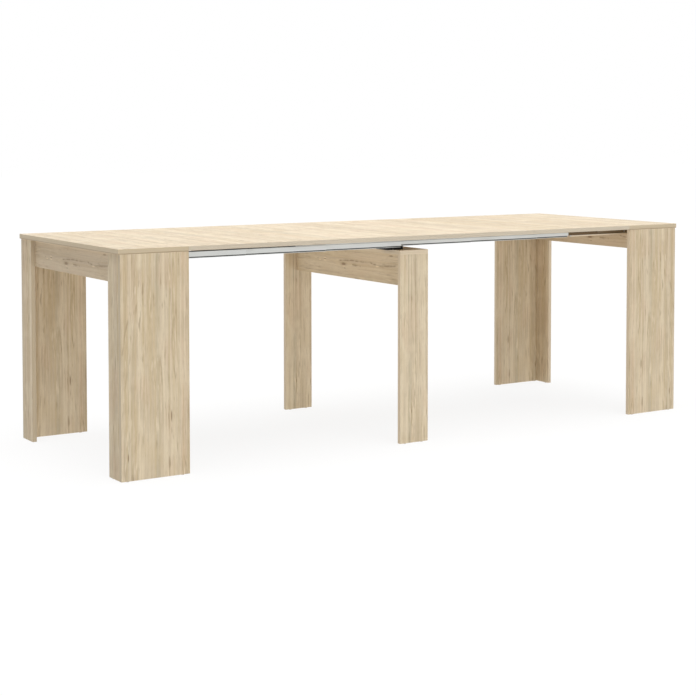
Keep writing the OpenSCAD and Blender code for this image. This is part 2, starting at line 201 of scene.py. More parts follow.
# A layer is a cloud and its tones. Each tone comes in between two levels of the cloud, up to its
# share.
GROUND_LAYERS = (((21.0, 0.35, 2.0, 3.0), ("pale", 0.36, 0.64, 1.00)),
                 ((16.0, 0.30, 1.0, 7.0), ("rose", 0.50, 0.66, 0.75), ("grey", 0.50, 0.34, 0.60)))
GRAIN_LAYERS = (((48.0, 0.9, 2.0, 11.0), ("tan", 0.50, 0.72, 0.85), ("pale", 0.50, 0.28, 0.65)),
                ((6.0, 8.0, 2.0, 31.0), ("tan", 0.50, 0.68, 0.50), ("pale", 0.50, 0.32, 0.50)),
                ((13.0, 5.0, 1.0, 41.0), ("rose", 0.50, 0.66, 0.40), ("gold", 0.50, 0.34, 0.35)),
                ((85.0, 0.7, 2.0, 37.0), ("gold", 0.50, 0.66, 0.60), ("pale", 0.50, 0.34, 0.60)),
                ((150.0, 2.4, 2.0, 13.0), ("brown", 0.52, 0.78, 0.28), ("pale", 0.48, 0.25, 0.60)))


def layered(tree, place, sheet, tones, layers, colour):
    """Lays cloudy layers of the print over a colour."""
    for cloud, *washes in layers:
        noise = print_cloud(tree, place, sheet, *cloud)
        for tone, low, high, share in washes:
            colour = blended(tree, eased(tree, noise, low, high, 0.0, share), colour, tones[tone])
    return colour


# Strokes come in rows: least is their share between the rows, and more what the rows add to it.
ROW_CLOUD = (24.0, 5.0, 2.0, 19.0)
ROW_LEVELS = (0.42, 0.62)
STROKE_CLOUD = (150.0, 14.0, 2.0, 23.0)
DARK_STROKES = {"levels": (0.55, 0.70), "least": 0.10, "more": 0.34}
PALE_STROKES = {"levels": (0.46, 0.31), "least": 0.25, "more": 0.70}


def stroked(tree, place, sheet, tones, crown, depth, colour):
    """Short dark and pale strokes, whose rows arch over the crown of a flat-sawn board."""
    off_crown = sums(tree, "SUBTRACT", parts_of(tree, place)["X"], CROWN_PLACE)
    rise = sums(tree, "MULTIPLY", sums(tree, "MULTIPLY", off_crown, off_crown), crown)
    arched = vectors(tree, "ADD", place, add(tree, "ShaderNodeCombineXYZ", Y=rise).outputs[0])
    rows = eased(tree, print_cloud(tree, arched, sheet, *ROW_CLOUD), *ROW_LEVELS)
    strokes = print_cloud(tree, arched, sheet, *STROKE_CLOUD)
    for kind, strength, tone in ((DARK_STROKES, depth, "brown"), (PALE_STROKES, 1.0, "pale")):
        share = sums(tree, "MULTIPLY_ADD", rows, kind["more"] * strength, kind["least"] * strength)
        share = sums(tree, "MULTIPLY", eased(tree, strokes, *kind["levels"]), share)
        colour = blended(tree, share, colour, tones[tone])
    return colour


def spot(tree, place, across, along, half_width, half_length, core=0.3):
    """1 in the core of an oval mark on the print, falling to 0 at its rim."""
    off = vectors(tree, "SUBTRACT", place, (across, along, 0.0))
    off = vectors(tree, "DIVIDE", off, (half_width, half_length, 1.0))
    reach = add(tree, "ShaderNodeVectorMath", {"operation": "LENGTH"}, _0=off).outputs["Value"]
    return eased(tree, reach, 1.0, core)


# Flatness is 1 on a board's two faces and 0 on its cut edges. These are its levels where the edging
# starts, and where an arris begins and ends.
EDGING_LEVELS = (0.80, 0.60)
ARRIS_LEVELS = (0.97, 0.90)
ARRIS_END_LEVELS = (0.20, 0.35)
EDGING_ACROSS = 420.0
EDGING_ALONG = 4.0
EDGING_LINE_SHARES = (0.35, 0.70, 0.0, 0.14)
# Arrises are lighter where rubbed, and lighter still as a painted highlight along them.
RUB_AND_HIGHLIGHT_SHARES = (0.35, 0.65, 0.15, 0.55)
RUB_AND_HIGHLIGHT_LIGHTER = 1.15


def edged(tree, flat, flatness, edging, rub, tones, colour):
    """The edging strip on a board's cut edges, and the arrises beside it, rubbed pale and lightened
    further as a painted highlight.
    """
    drawn_out = [EDGING_ACROSS if axis == flat else EDGING_ALONG for axis in "XYZ"]
    strip_lines = eased(tree, cloudy(tree, own_place(tree), drawn_out), *EDGING_LINE_SHARES)
    strip_and_shade = blended(tree, strip_lines, edging, tones["brown"])
    colour = blended(tree, eased(tree, flatness, *EDGING_LEVELS), colour, strip_and_shade)
    arris = sums(tree, "MULTIPLY", eased(tree, flatness, *ARRIS_LEVELS),
                 eased(tree, flatness, *ARRIS_END_LEVELS))
    worn_and_highlit = sums(tree, "MULTIPLY", arris, eased(tree, rub, *RUB_AND_HIGHLIGHT_SHARES))
    rubbed_and_highlit = tuple(min(1.0, part * RUB_AND_HIGHLIGHT_LIGHTER) for part in tones["pale"][:3]) + (1,)
    return blended(tree, worn_and_highlit, colour, rubbed_and_highlit)


LINE_CLOUD = (420.0, 5.0, 2.0, 17.0)
LINE_LEVELS = (0.40, 0.75)
LINE_SHARE = 0.11
LINE_RELIEF = 0.6
PORE_CLOUD = (700.0, 40.0, 1.0, 29.0)
PORE_LEVELS = (0.58, 0.70)
PORE_SHARE = 0.18
PORE_DULLNESS = 0.10
PAPER_RELIEF = (0.25, 0.00012)
PAPER_GLOSS = 0.2
PAPER_ROUGHNESS = 0.50
RUB_REPEATS = (30.0, 30.0, 30.0)
RUB_DULLNESS = 0.14
MARK_SHARE = 0.90
FLECK_SHARE = 0.85
FLECK_LIGHTER = 1.3


def oak_paper(name, across, along, plain, sheet, edge=0.0, turned_over=False, stripes=None,
              crown=0.0, figure=None, ticks=(), edging=LEG_EDGING, roughness=PAPER_ROUGHNESS,
              gloss=PAPER_GLOSS, depth=1.0, joint=None):
    """The printed paper of a board, with its edging. The sheet is the place on the roll that it is
    cut from, the figure draws a knot, and the last argument paints a line of shadow where the board
    lies on others."""
    finish, tree, skin = blank_finish(name)
    tones = mixed_tones(plain, depth)
    place = wavering(tree, print_place(tree, across, along, edge, turned_over), sheet)
    marks, flecks = 0.0, 0.0
    if figure:
        place, marks, flecks = figure(tree, place)
    for tick in ticks:
        marks = sums(tree, "MAXIMUM", marks, spot(tree, place, *tick))
    if stripes:
        colour = striped(tree, place, stripes, tones)
    else:
        colour = layered(tree, place, sheet, tones, GROUND_LAYERS, tones["tan"])
    colour = layered(tree, place, sheet, tones, GRAIN_LAYERS, colour)
    lines = eased(tree, print_cloud(tree, place, sheet, *LINE_CLOUD), *LINE_LEVELS)
    colour = blended(tree, sums(tree, "MULTIPLY", lines, LINE_SHARE), colour, tones["brown"])
    colour = stroked(tree, place, sheet, tones, crown, depth, colour)
    pores = eased(tree, print_cloud(tree, place, sheet, *PORE_CLOUD), *PORE_LEVELS)
    colour = blended(tree, sums(tree, "MULTIPLY", pores, PORE_SHARE), colour, tones["brown"])
    fleck = tuple(part * FLECK_LIGHTER for part in plain) + (1,)
    colour = blended(tree, sums(tree, "MULTIPLY", flecks, FLECK_SHARE), colour, fleck)
    colour = blended(tree, sums(tree, "MULTIPLY", marks, MARK_SHARE), colour, tones["brown"])

    flat = "XYZ".replace(across, "").replace(along, "")
    flatness = sums(tree, "ABSOLUTE", parts_of(tree, facing(tree))[flat])
    rub = cloudy(tree, own_place(tree), RUB_REPEATS, fineness=4.0)
    colour = edged(tree, flat, flatness, edging, rub, tones, colour)
    # Painted shadow along the lower rim of the edges, where the board lies on others.
    if joint:
        colour = blended(tree, joint(tree, flatness), colour, tones["brown"])
    tree.links.new(colour, skin.inputs["Base Color"])
    dullness = sums(tree, "MULTIPLY_ADD", rub, RUB_DULLNESS, roughness - RUB_DULLNESS / 2)
    dullness = sums(tree, "MULTIPLY_ADD", pores, PORE_DULLNESS, dullness)
    tree.links.new(dullness, skin.inputs["Roughness"])
    skin.inputs["Specular IOR Level"].default_value = gloss
    hollow = sums(tree, "ADD", pores, sums(tree, "MULTIPLY", lines, LINE_RELIEF))
    textured(tree, skin, hollow, *PAPER_RELIEF, sunk=True)
    return finish


ARRIS = 0.0006
SAME_PLACE = 0.000001
FLAT_DEGREES = 1
SHARP_DEGREES = 60


def dressed(node_name, finish, arris=ARRIS):
    """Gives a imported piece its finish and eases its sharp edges."""
    piece = frame["nodes"][node_name]
    for slot in piece.material_slots:
        slot.material = finish
    if arris:
        joined = piece.modifiers.new("joined_faces", "WELD")
        joined.merge_threshold = SAME_PLACE
        plain = piece.modifiers.new("plain_faces", "DECIMATE")
        plain.decimate_type = "DISSOLVE"
        plain.angle_limit = math.radians(FLAT_DEGREES)
        eased_edge = piece.modifiers.new("eased_edges", "BEVEL")
        eased_edge.width = arris
        eased_edge.segments = 2
        eased_edge.limit_method = "ANGLE"
        eased_edge.angle_limit = math.radians(SHARP_DEGREES)
        eased_edge.use_clamp_overlap = False
        eased_edge.loop_slide = False
        eased_edge.harden_normals = True


leg_edge = span("right_front_leg_panel", "X")[1]
for end, edging in (("left", LEFT_LEG_EDGING), ("right", LEG_EDGING)):
    panel_paper = oak_paper(f"oak_{end}_leg_panel", "X", "Z", LEG_OAK, sheet=0.0, edge=leg_edge,
                            turned_over=True, stripes=LEG_STRIPES, crown=LEG_CROWN, ticks=LEG_TICKS,
                            edging=edging, depth=1.25)
    return_paper = oak_paper(f"oak_{end}_leg_return", "Y", "Z", LEG_OAK, sheet=41.0, edging=edging,
                             depth=1.5)
    for side in ("front", "back"):
        dressed(f"{end}_{side}_leg_panel", panel_paper)
        dressed(f"{end}_{side}_leg_return", return_paper)


# Aprons of the two ends.
# One board between the legs of each end, faced with the same paper laid sideways. Its print shows
# a small knot, with dark veins that run off from it along the board. Dowels and screws hold it.
APRON_OAK = (0.600, 0.485, 0.340)
APRON_EDGING = (0.531, 0.439, 0.310, 1)
APRON_SHEET = 47.0

# Places on the print are heights above the floor and distances from the middle of the table. Marks
# add half their width and half their length, as the legs' ticks do.
KNOT = (0.6965, 0.049)
KNOT_HEART = (0.0090, 0.0240)
KNOT_RING = (0.0130, 0.0400)
KNOT_RING_SHARE = 0.40
KNOT_PULL = (0.030, 0.090)
KNOT_PULL_SHARE = 0.6
VEINS = (((0.7160, -0.335), (0.7090, -0.207), (0.7103, -0.178), (0.7155, -0.132), (0.7140, -0.073),
          (0.7140, -0.010), (0.7070, 0.090)),
         ((0.6965, -0.078), (0.6975, -0.045), (0.6985, -0.014)))
VEIN_HALF_WIDTH = 0.0028
VEIN_CORE = 0.3
VEIN_RIM = 3.0
VEIN_RIM_SHARE = 0.32
VEIN_ENDS = 0.04
VEIN_MARGIN = 0.01
VEIN_CLOUD = (40.0, 38.0, 2.0, 5.0)
VEIN_SHARES = (0.36, 0.60, 0.30, 0.90)
SMALL_MARK_SHARE = 0.7
SMALL_MARKS = ((0.7064, 0.191, 0.0032, 0.013), (0.7500, -0.289, 0.0050, 0.021),
               (0.7065, 0.246, 0.0022, 0.008), (0.7105, -0.178, 0.0030, 0.011),
               (0.7080, -0.218, 0.0030, 0.011), (0.6800, 0.041, 0.0030, 0.010))
PALE_FLECKS = ((0.6885, 0.048, 0.0040, 0.014), (0.7040, -0.194, 0.0034, 0.016),
               (0.7112, 0.191, 0.0032, 0.014), (0.7005, 0.191, 0.0032, 0.014),
               (0.7000, 0.230, 0.0030, 0.012))


def vein(tree, place, route):
    """A thin dark line on the print, drawn through the places on its route."""
    low = min(across for across, along in route) - VEIN_MARGIN
    high = max(across for across, along in route) + VEIN_MARGIN
    start, stop = route[0][1], route[-1][1]
    parted = parts_of(tree, place)
    onward = sums(tree, "DIVIDE", sums(tree, "SUBTRACT", parted["Y"], start), stop - start)
    line = add(tree, "ShaderNodeFloatCurve", Value=onward)
    points = line.mapping.curves[0].points
    for point, (across, along) in zip((points[0], points[1]), (route[0], route[-1])):
        point.location = ((along - start) / (stop - start), (across - low) / (high - low))
    for across, along in route[1:-1]:
        points.new((along - start) / (stop - start), (across - low) / (high - low))
    line.mapping.update()
    middle = sums(tree, "MULTIPLY_ADD", line.outputs["Value"], high - low, low)
    off = sums(tree, "ABSOLUTE", sums(tree, "SUBTRACT", parted["X"], middle))
    thin = eased(tree, off, VEIN_HALF_WIDTH, VEIN_HALF_WIDTH * VEIN_CORE)
    soft_rim = eased(tree, off, VEIN_HALF_WIDTH * VEIN_RIM, VEIN_HALF_WIDTH)
    soft_rim = sums(tree, "MULTIPLY", soft_rim, VEIN_RIM_SHARE)
    thin = sums(tree, "MAXIMUM", thin, soft_rim)
    ends = sums(tree, "MULTIPLY", eased(tree, onward, 0.0, VEIN_ENDS),
                eased(tree, onward, 1.0, 1.0 - VEIN_ENDS))
    faint = eased(tree, print_cloud(tree, place, 0.0, *VEIN_CLOUD), *VEIN_SHARES)
    return sums(tree, "MULTIPLY", sums(tree, "MULTIPLY", thin, ends), faint)


def knotty(tree, place):
    """Bends the print round a knot; gives the new place, the dark marks and the pale flecks."""
    ring = sums(tree, "MULTIPLY", spot(tree, place, *KNOT, *KNOT_RING), KNOT_RING_SHARE)
    marks = sums(tree, "MAXIMUM", spot(tree, place, *KNOT, *KNOT_HEART), ring)
    for route in VEINS:
        marks = sums(tree, "MAXIMUM", marks, vein(tree, place, route))
    for small_mark in SMALL_MARKS:
        mark = sums(tree, "MULTIPLY", spot(tree, place, *small_mark), SMALL_MARK_SHARE)
        marks = sums(tree, "MAXIMUM", marks, mark)
    flecks = 0.0
    for fleck in PALE_FLECKS:
        flecks = sums(tree, "MAXIMUM", flecks, spot(tree, place, *fleck))
    pull = sums(tree, "MULTIPLY", spot(tree, place, *KNOT, *KNOT_PULL, core=0.0), KNOT_PULL_SHARE)
    to_knot = vectors(tree, "SUBTRACT", (KNOT[0], 0.0, 0.0), place)
    across_only = vectors(tree, "MULTIPLY", to_knot, (1.0, 0.0, 0.0))
    pulled = add(tree, "ShaderNodeVectorMath", {"operation": "SCALE"}, _0=across_only, Scale=pull)
    return vectors(tree, "ADD", place, pulled.outputs[0]), marks, flecks


apron_paper = oak_paper("oak_apron", "Z", "Y", APRON_OAK, APRON_SHEET, figure=knotty,
                        edging=APRON_EDGING, depth=0.7)
for end in ("left", "right"):
    dressed(f"{end}_apron", apron_paper)


# Blocks and battens under the end tops.
# Short lengths of planed beech, screwed from inside: they tie the aprons to the tops and carry the
# slides. Nobody sees them unless they look up under the table.
BEECH_LIGHT = (0.640, 0.440, 0.260, 1)
BEECH_DARK = (0.500, 0.310, 0.165, 1)
BEECH_RELIEF = (0.3, 0.0002)
BANDS_ALONG = 3.0
BANDS_ACROSS = 90.0
BAND_LEVELS = (0.35, 0.65)
BAND_ROUGHNESS = (0.2, 0.8, 0.50, 0.68)
RAYS_ALONG = 160.0
RAYS_ACROSS = 900.0
RAY_SHARES = (0.62, 0.72, 0.0, 0.45)


def beech_timber(name, grain):
    """Planed beech with its grain along one axis: broad bands and short brown rays."""
    finish, tree, skin = blank_finish(name)
    band_repeats = [BANDS_ALONG if axis == grain else BANDS_ACROSS for axis in "XYZ"]
    ray_repeats = [RAYS_ALONG if axis == grain else RAYS_ACROSS for axis in "XYZ"]
    bands = cloudy(tree, own_place(tree), band_repeats, fineness=3.0)
    rays = cloudy(tree, own_place(tree), ray_repeats, fineness=1.0)
    colour = blended(tree, eased(tree, bands, *BAND_LEVELS), BEECH_LIGHT, BEECH_DARK)
    colour = blended(tree, eased(tree, rays, *RAY_SHARES), colour, GRAIN_BROWN)
    tree.links.new(colour, skin.inputs["Base Color"])
    tree.links.new(eased(tree, bands, *BAND_ROUGHNESS), skin.inputs["Roughness"])
    textured(tree, skin, bands, *BEECH_RELIEF)
    return finish


batten_beech = beech_timber("beech_batten", "X")
block_beech = beech_timber("beech_block", "Y")
for end in ("left", "right"):
    dressed(f"{end}_rail_blocks", batten_beech)
    dressed(f"{end}_top_blocks", block_beech)


# Wooden dowels.
# Beech pins, glued in one board and pushed into the next, in all the joints of the three frames.
dowel_beech = beech_timber("beech_dowel", "Z")
for group in ("left", "right", "middle"):
    dressed(f"{group}_wood_dowels", dowel_beech, None)


# Cam locks and screws.
# Cast cams and cold-formed steel bolts and screws, all with a bright zinc plating. The cams turn on
# a bolt that stands in the top; the screws are countersunk.
ZINC = (0.560, 0.575, 0.600, 1)
ZINC_DULL = (0.440, 0.450, 0.465, 1)
ZINC_LEVELS = (0.3, 0.7)
ZINC_ROUGHNESS = (0.3, 0.7, 0.24, 0.42)
ZINC_RELIEF = (0.15, 0.0002)


def speckled(name, clean, dull, repeats, levels, roughness, relief, metallic=0.0):
    """A finish with fine specks, in which its colour, its sheen and its relief change together."""
    finish, tree, skin = blank_finish(name)
    specks = cloudy(tree, own_place(tree), (repeats, repeats, repeats), fineness=3.0)
    colour = blended(tree, eased(tree, specks, *levels), clean, dull)
    tree.links.new(colour, skin.inputs["Base Color"])
    skin.inputs["Metallic"].default_value = metallic
    tree.links.new(eased(tree, specks, *roughness), skin.inputs["Roughness"])
    textured(tree, skin, specks, *relief)
    return finish


bright_zinc = speckled("bright_zinc", ZINC, ZINC_DULL, repeats=160.0, levels=ZINC_LEVELS,
                       roughness=ZINC_ROUGHNESS, relief=ZINC_RELIEF, metallic=1.0)
for hardware in ("left_cam_locks", "right_cam_locks", "left_wood_screws", "right_wood_screws",
                 "middle_screws"):
    dressed(hardware, bright_zinc, None)


# Foot glides.
# Discs of pale hard plastic, each moulded with a pin that is pushed into the lower end of a leg
# board.
GLIDE_PALE = (0.660, 0.620, 0.550, 1)
GLIDE_SCUFFED = (0.500, 0.460, 0.390, 1)
GLIDE_LEVELS = (0.4, 0.7)
GLIDE_ROUGHNESS = (0.3, 0.7, 0.38, 0.60)
GLIDE_RELIEF = (0.2, 0.0001)
glide_plastic = speckled("glide_plastic", GLIDE_PALE, GLIDE_SCUFFED, repeats=260.0,
                         levels=GLIDE_LEVELS, roughness=GLIDE_ROUGHNESS, relief=GLIDE_RELIEF)
for group in ("left", "right", "middle"):
    dressed(f"{group}_foot_glides", glide_plastic, None)


# End tops.
# A fixed board over each pair of legs, 18 mm thick, in the same paper with a lighter plain tone than
# on the legs. Its grain runs from front to back across the table, as it does on the leaves.
TOP_OAK = (0.672, 0.561, 0.405)
TOP_EDGING = (0.570, 0.470, 0.323, 1)
# The end tops' wide arris also widens the painted highlight along it.
TOP_ARRIS = 0.0012
TOP_ROUGHNESS = 0.44
TOP_GLOSS = 0.3
TOP_DEPTH = 1.4
# A line of painted shadow along the lower rim of the end tops' edges.
SHADE_LINE_TOP = 0.0042
SHADE_LINE_BOTTOM = 0.0020
SHADE_LINE_SHARE = 0.62
SHADE_LINE_LEVELS = (0.90, 0.70)
LEFT_TOP_STRIPES = ((0.004, "grey"), (0.030, "tan"), (0.060, "grey"), (0.095, "plain"),
                    (0.120, "tan"), (0.150, "plain"), (0.185, "grey"), (0.215, "plain"),
                    (0.240, "tan"), (0.256, "plain"))
RIGHT_TOP_STRIPES = ((0.004, "plain"), (0.030, "gold"), (0.055, "pale"), (0.090, "plain"),
                     (0.120, "grey"), (0.155, "plain"), (0.185, "pale"), (0.220, "grey"),
                     (0.256, "plain"))
top_underside = span("left_top", "Z")[0]


def top_shade_line(tree, flatness):
    """Painted shadow under an end top, on the lower rim of its edges."""
    height = parts_of(tree, own_place(tree))["Z"]
    joint = eased(tree, height, top_underside + SHADE_LINE_TOP, top_underside + SHADE_LINE_BOTTOM,
                  0.0, SHADE_LINE_SHARE)
    return sums(tree, "MULTIPLY", joint, eased(tree, flatness, *SHADE_LINE_LEVELS))


for end, sheet, stripes in (("left", 53.0, LEFT_TOP_STRIPES), ("right", 59.0, RIGHT_TOP_STRIPES)):
    top_edge = span(f"{end}_top", "X")[0]
    top_paper = oak_paper(f"oak_{end}_top", "X", "Y", TOP_OAK, sheet, top_edge, stripes=stripes,
                          edging=TOP_EDGING, roughness=TOP_ROUGHNESS, gloss=TOP_GLOSS,
                          depth=TOP_DEPTH, joint=top_shade_line)
    dressed(f"{end}_top", top_paper, TOP_ARRIS)


# Slides: seven drawn aluminium sections a side, satin anodised, nested by tongues and grooves.
# Painted shade darkens the groove under each tongue and the upper rim of the first two.
# The seventh is an open channel, with painted brown shade inside it over a cream lip.
ANODISED = (0.705, 0.718, 0.700)
DULL_SHARE = 0.87
DRAWN_REPEATS = (1.5, 1400.0, 1400.0)
DRAWN_LEVELS = (0.35, 0.70)
SMEAR_REPEATS = (8.0, 60.0, 60.0)
SMEAR_SHARES = (0.45, 0.75, 0.0, 0.6)
SMEAR_ROUGHNESS = (0.2, 0.8, 0.36, 0.48)
SLIDE_RELIEF = (0.12, 0.0001)
SLIDE_ARRIS = 0.0003
# Painted shade in the grooves under the tongues and on the rims of the first two slides.
PAINTED_SHADE_GREY = (0.060, 0.062, 0.059, 1)
# Painted brown shade inside the open channel.
CHANNEL_SHADE_BROWN = (0.240, 0.175, 0.105, 1)
LIP_CREAM = (0.720, 0.620, 0.480, 1)

# Where the painted shade and the lip lie: heights above a slide's underside, then depths below its
# top and behind the channel's mouth.
GROOVE_SHADE_BOTTOM = 0.0017
GROOVE_SHADE_TOP = 0.0056
LIP_BOTTOM = -0.0005
LIP_TOP = 0.0049
RIM_SHADE_DEPTH = 0.0023
ROOF_THICKNESS = 0.0012
MOUTH_INSET = 0.0001
CHANNEL_DEPTH = 0.0080

# How far the rim's painted shade reaches along the third slide, and how softly the painted bands end.
RIM_SHADE_REACH = 0.0128
RIM_SHADE_FADE = 0.002
RIM_BLUR = 0.0001
BAND_BLUR = 0.00005

# How much of a face's direction points one way where it hardly, and where it clearly, looks there.
HARDLY = 0.4
CLEARLY = 0.6


def within(tree, value, low, high):
    """1 where the value lies between the two, and 0 elsewhere."""
    return sums(tree, "MULTIPLY", eased(tree, value, low - BAND_BLUR, low + BAND_BLUR),
                eased(tree, value, high + BAND_BLUR, high - BAND_BLUR))


def outward(tree):
    """1 on faces turned away from the middle of the table, and -1 on those turned to it."""
    side = sums(tree, "SIGN", parts_of(tree, own_place(tree))["Y"])
    return sums(tree, "MULTIPLY", parts_of(tree, facing(tree))["Y"], side)


def off_ends(tree):
    """0 on the sawn ends of a slide, and 1 on its other faces."""
    endward = sums(tree, "ABSOLUTE", parts_of(tree, facing(tree))["X"])
    return eased(tree, endward, CLEARLY, HARDLY)


def groove_painted_shade(tree, slide):
    """Where painted shade lies in the groove, on faces that aren't turned inwards."""
    underside = span(slide, "Z")[0]
    height = parts_of(tree, own_place(tree))["Z"]
    strip_and_shade = within(tree, height, underside + GROOVE_SHADE_BOTTOM, underside + GROOVE_SHADE_TOP)
    strip_and_shade = sums(tree, "MULTIPLY", strip_and_shade, off_ends(tree))
    return sums(tree, "MULTIPLY", strip_and_shade, eased(tree, outward(tree), -CLEARLY, -HARDLY))


def rim_painted_shade(tree, slide):
    """Where painted shade lies on the upper rim. It ends soon after the third slide begins."""
    own = parts_of(tree, own_place(tree))
    lower = span(slide, "Z")[1] - RIM_SHADE_DEPTH
    last = span("front_slide_3", "X")[0] + RIM_SHADE_REACH
    rim = eased(tree, own["Z"], lower - RIM_BLUR, lower + RIM_BLUR)
    return sums(tree, "MULTIPLY", rim, eased(tree, own["X"], last + RIM_SHADE_FADE, last))


def channel_painted_shade(tree, slide):
    """Where painted shade lies inside the channel."""
    own = parts_of(tree, own_place(tree))
    underside, upper_side = span(slide, "Z")
    mouth = span(slide, "Y")[1] - MOUTH_INSET
    where_painted = within(tree, own["Z"], underside + LIP_TOP, upper_side - ROOF_THICKNESS)
    where_painted = sums(tree, "MULTIPLY", where_painted, off_ends(tree))
    depth = sums(tree, "ABSOLUTE", own["Y"])
    return sums(tree, "MULTIPLY", where_painted, within(tree, depth, mouth - CHANNEL_DEPTH, mouth))


def channel_lip(tree, slide):
    """Where the cream lip shows under the channel's mouth."""
    underside = span(slide, "Z")[0]
    height = parts_of(tree, own_place(tree))["Z"]
    lip = within(tree, height, underside + LIP_BOTTOM, underside + LIP_TOP)
    return sums(tree, "MULTIPLY", lip, eased(tree, outward(tree), HARDLY, CLEARLY))


def satin_aluminium(name, slide, shade_and_lip_paints):
    """Anodised metal, with the colours of the painted shade and of the lip where they lie. One slide
    gives their heights.
    """
    finish, tree, skin = blank_finish(name)
    dull = tuple(part * DULL_SHARE for part in ANODISED) + (1,)
    drawing = cloudy(tree, own_place(tree), DRAWN_REPEATS, fineness=3.0)
    smears = cloudy(tree, own_place(tree), SMEAR_REPEATS, fineness=3.0)
    colour = blended(tree, eased(tree, drawing, *DRAWN_LEVELS), ANODISED + (1,), dull)
    colour = blended(tree, eased(tree, smears, *SMEAR_SHARES), colour, dull)
    painted = 0.0
    for where_painted, painted_colour in shade_and_lip_paints:
        lies_here = where_painted(tree, slide)
        colour = blended(tree, lies_here, colour, painted_colour)
        painted = sums(tree, "MAXIMUM", painted, lies_here)
    tree.links.new(colour, skin.inputs["Base Color"])
    tree.links.new(sums(tree, "SUBTRACT", 1.0, painted), skin.inputs["Metallic"])
    tree.links.new(eased(tree, smears, *SMEAR_ROUGHNESS), skin.inputs["Roughness"])
    textured(tree, skin, drawing, *SLIDE_RELIEF)
    return finish


deep_aluminium = satin_aluminium("deep_slide_aluminium", "front_slide_1",
                                 ((groove_painted_shade, PAINTED_SHADE_GREY), (rim_painted_shade, PAINTED_SHADE_GREY)))
shallow_aluminium = satin_aluminium("shallow_slide_aluminium", "front_slide_4",
                                    ((groove_painted_shade, PAINTED_SHADE_GREY),))
channel_aluminium = satin_aluminium("channel_aluminium", "back_slide_7",
                                    ((channel_painted_shade, CHANNEL_SHADE_BROWN), (channel_lip, LIP_CREAM)))
for side in ("front", "back"):
    for stage in (1, 2, 3):
        dressed(f"{side}_slide_{stage}", deep_aluminium, SLIDE_ARRIS)
    for stage in (4, 5, 6):
        dressed(f"{side}_slide_{stage}", shallow_aluminium, SLIDE_ARRIS)
    dressed(f"{side}_slide_7", channel_aluminium, None)


# Runners and carriers.
# Moulded nylon with a fine sparked texture: brown for the runners, which slide in the two open
# channels, and black for the carriers, which join the middle frame to the slides. The runners' dark
# brown is partly painted shade, the warm shade inside those channels.
NYLON_BLACK = (0.010, 0.009, 0.008, 1)
# The runners' brown is nylon and painted shade together.
NYLON_BROWN_AS_SHADE = (0.145, 0.098, 0.056, 1)
NYLON_DUST = (0.150, 0.125, 0.100, 1)
NYLON_GLOSS = 0.15
SPARK_REPEATS = (1500.0, 1500.0, 1500.0)
SPARK_RELIEF = (0.25, 0.0001)
SCUFF_REPEATS = (12.0, 70.0, 70.0)
SCUFF_SHARES = (0.45, 0.75, 0.0, 0.12)
SCUFF_ROUGHNESS = (0.3, 0.7, 0.42, 0.60)
MOULDING_ARRIS = 0.0004


def sparked_nylon(name, plain):
    finish, tree, skin = blank_finish(name)
    sparked = cloudy(tree, own_place(tree), SPARK_REPEATS)
    scuffed = cloudy(tree, own_place(tree), SCUFF_REPEATS, fineness=3.0)
    colour = blended(tree, eased(tree, scuffed, *SCUFF_SHARES), plain, NYLON_DUST)
    tree.links.new(colour, skin.inputs["Base Color"])
    tree.links.new(eased(tree, scuffed, *SCUFF_ROUGHNESS), skin.inputs["Roughness"])
    skin.inputs["Specular IOR Level"].default_value = NYLON_GLOSS
    textured(tree, skin, sparked, *SPARK_RELIEF)
    return finish


black_nylon = sparked_nylon("black_nylon", NYLON_BLACK)
for side in ("front", "back"):
    dressed(f"{side}_slide_carrier", black_nylon, MOULDING_ARRIS)
dressed("slide_runners", sparked_nylon("brown_nylon", NYLON_BROWN_AS_SHADE), MOULDING_ARRIS)


# Middle frame.
# Two narrow legs under a flat board, stiffened by an upright cross rail. All four boards have the
# same paper, up the legs and along the board and the rail, which shows the aprons' knot again.
MIDDLE_STRIPES = ((0.004, "pale"), (0.028, "pale"), (0.041, "grey"), (0.058, "plain"), (0.079, "tan"),
                  (0.092, "plain"), (0.103, "pale"), (0.115, "pale"), (0.126, "plain"))
MIDDLE_TICKS = ((0.052, 0.120, 0.002, 0.010),)
RAIL_OAK = (0.665, 0.550, 0.388)
RAIL_PRINT_DROP = 0.058
middle_edge = span("middle_front_leg", "X")[0]
middle_paper = oak_paper("oak_middle_leg", "X", "Z", LEG_OAK, sheet=61.0, edge=middle_edge,
                         stripes=MIDDLE_STRIPES, ticks=MIDDLE_TICKS, depth=1.3)
for side in ("front", "back"):
    dressed(f"middle_{side}_leg", middle_paper)
dressed("middle_top_board", oak_paper("oak_middle_board", "X", "Y", APRON_OAK, sheet=67.0))
rail_paper = oak_paper("oak_cross_rail", "Z", "Y", RAIL_OAK, APRON_SHEET, edge=-RAIL_PRINT_DROP,
                       figure=knotty, edging=APRON_EDGING, depth=0.85)
dressed("middle_cross_rail", rail_paper)


